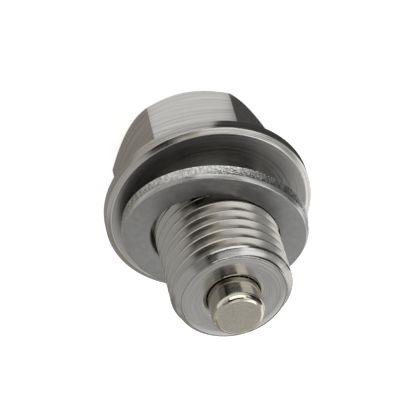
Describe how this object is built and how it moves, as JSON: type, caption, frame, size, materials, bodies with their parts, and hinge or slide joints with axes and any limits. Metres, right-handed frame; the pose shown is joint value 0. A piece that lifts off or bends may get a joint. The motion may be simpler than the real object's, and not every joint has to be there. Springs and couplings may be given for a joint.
{
  "type": "magnetic oil drain plug",
  "caption": "Flanged hexagon-head drain plug with a threaded shank, a magnet standing out of its nose and a loose sealing washer cocked on the thread.",
  "frame": {"origin": "middle of the flat end of the hexagon head, which the plug stands on", "axes": "+Z along the plug's axis from the head to the nose; two flats of the hexagon face -Y and +Y"},
  "size_m": [0.0242, 0.0242, 0.0295],
  "materials": {
    "stainless_steel": "turned and milled, satin",
    "nickel_plate": "bright nickel plating with a fine grain",
    "washer_aluminium": "matt, stamped and tumbled"
  },
  "bodies": {
    "root": {"plug_body": "stainless_steel", "magnet": "nickel_plate", "sealing_washer": "washer_aluminium"}
  },
  "joints": []
}
